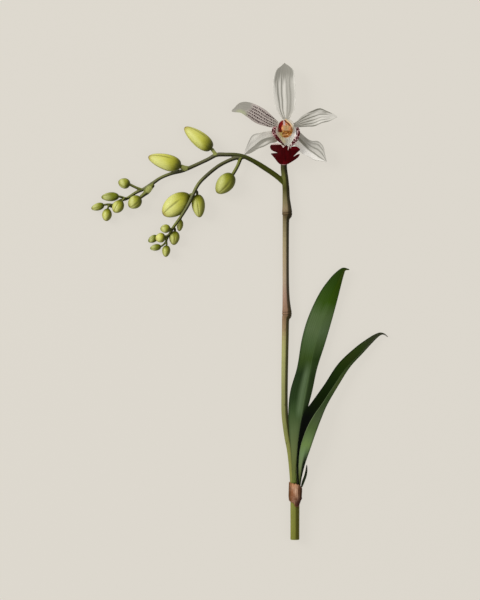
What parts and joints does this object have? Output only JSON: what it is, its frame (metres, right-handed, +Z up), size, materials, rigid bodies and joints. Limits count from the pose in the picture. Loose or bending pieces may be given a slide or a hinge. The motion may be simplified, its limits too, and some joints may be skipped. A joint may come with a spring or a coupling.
{
  "type": "cymbidium orchid flowering stem",
  "caption": "Cut cymbidium orchid stem lying on its back: a white flower with a maroon lip, an arching spray of green buds, and strap leaves.",
  "frame": {"origin": "middle of the plan outline, on the surface that the stem lies on", "axes": "+Y along the stem from its cut end to the flower, +X to the side of the strap leaves, +Z up, the way the flower faces"},
  "size_m": [0.2228, 0.3578, 0.0244],
  "materials": {
    "stem_green": "satin",
    "leaf_green": "satin",
    "bud_green": "satin",
    "tepal_white": "matte",
    "lip_maroon": "satin",
    "column_orange": "satin",
    "anther_tan": "matte",
    "sheath_brown": "matte"
  },
  "bodies": {
    "root": {"stem": "stem_green", "sheath": "sheath_brown", "leaf_tall": "leaf_green", "leaf_low": "leaf_green", "bract_leaf": "leaf_green", "dorsal_sepal": "tepal_white", "left_petal": "tepal_white", "right_petal": "tepal_white", "left_sepal": "tepal_white", "right_sepal": "tepal_white", "lip": "lip_maroon", "column": "column_orange", "anther_cap": "anther_tan", "bud_b1": "bud_green", "bud_b2": "bud_green", "bud_c1": "bud_green", "bud_s1": "bud_green", "bud_s2": "bud_green", "bud_s3": "bud_green", "bud_s4": "bud_green", "bud_s5": "bud_green", "bud_s6": "bud_green", "bud_d1": "bud_green", "bud_d2": "bud_green", "bud_d3": "bud_green", "bud_d4": "bud_green", "bud_d5": "bud_green", "bud_d6": "bud_green", "bud_d7": "bud_green", "bud_d8": "bud_green", "bud_d9": "bud_green"}
  },
  "joints": []
}
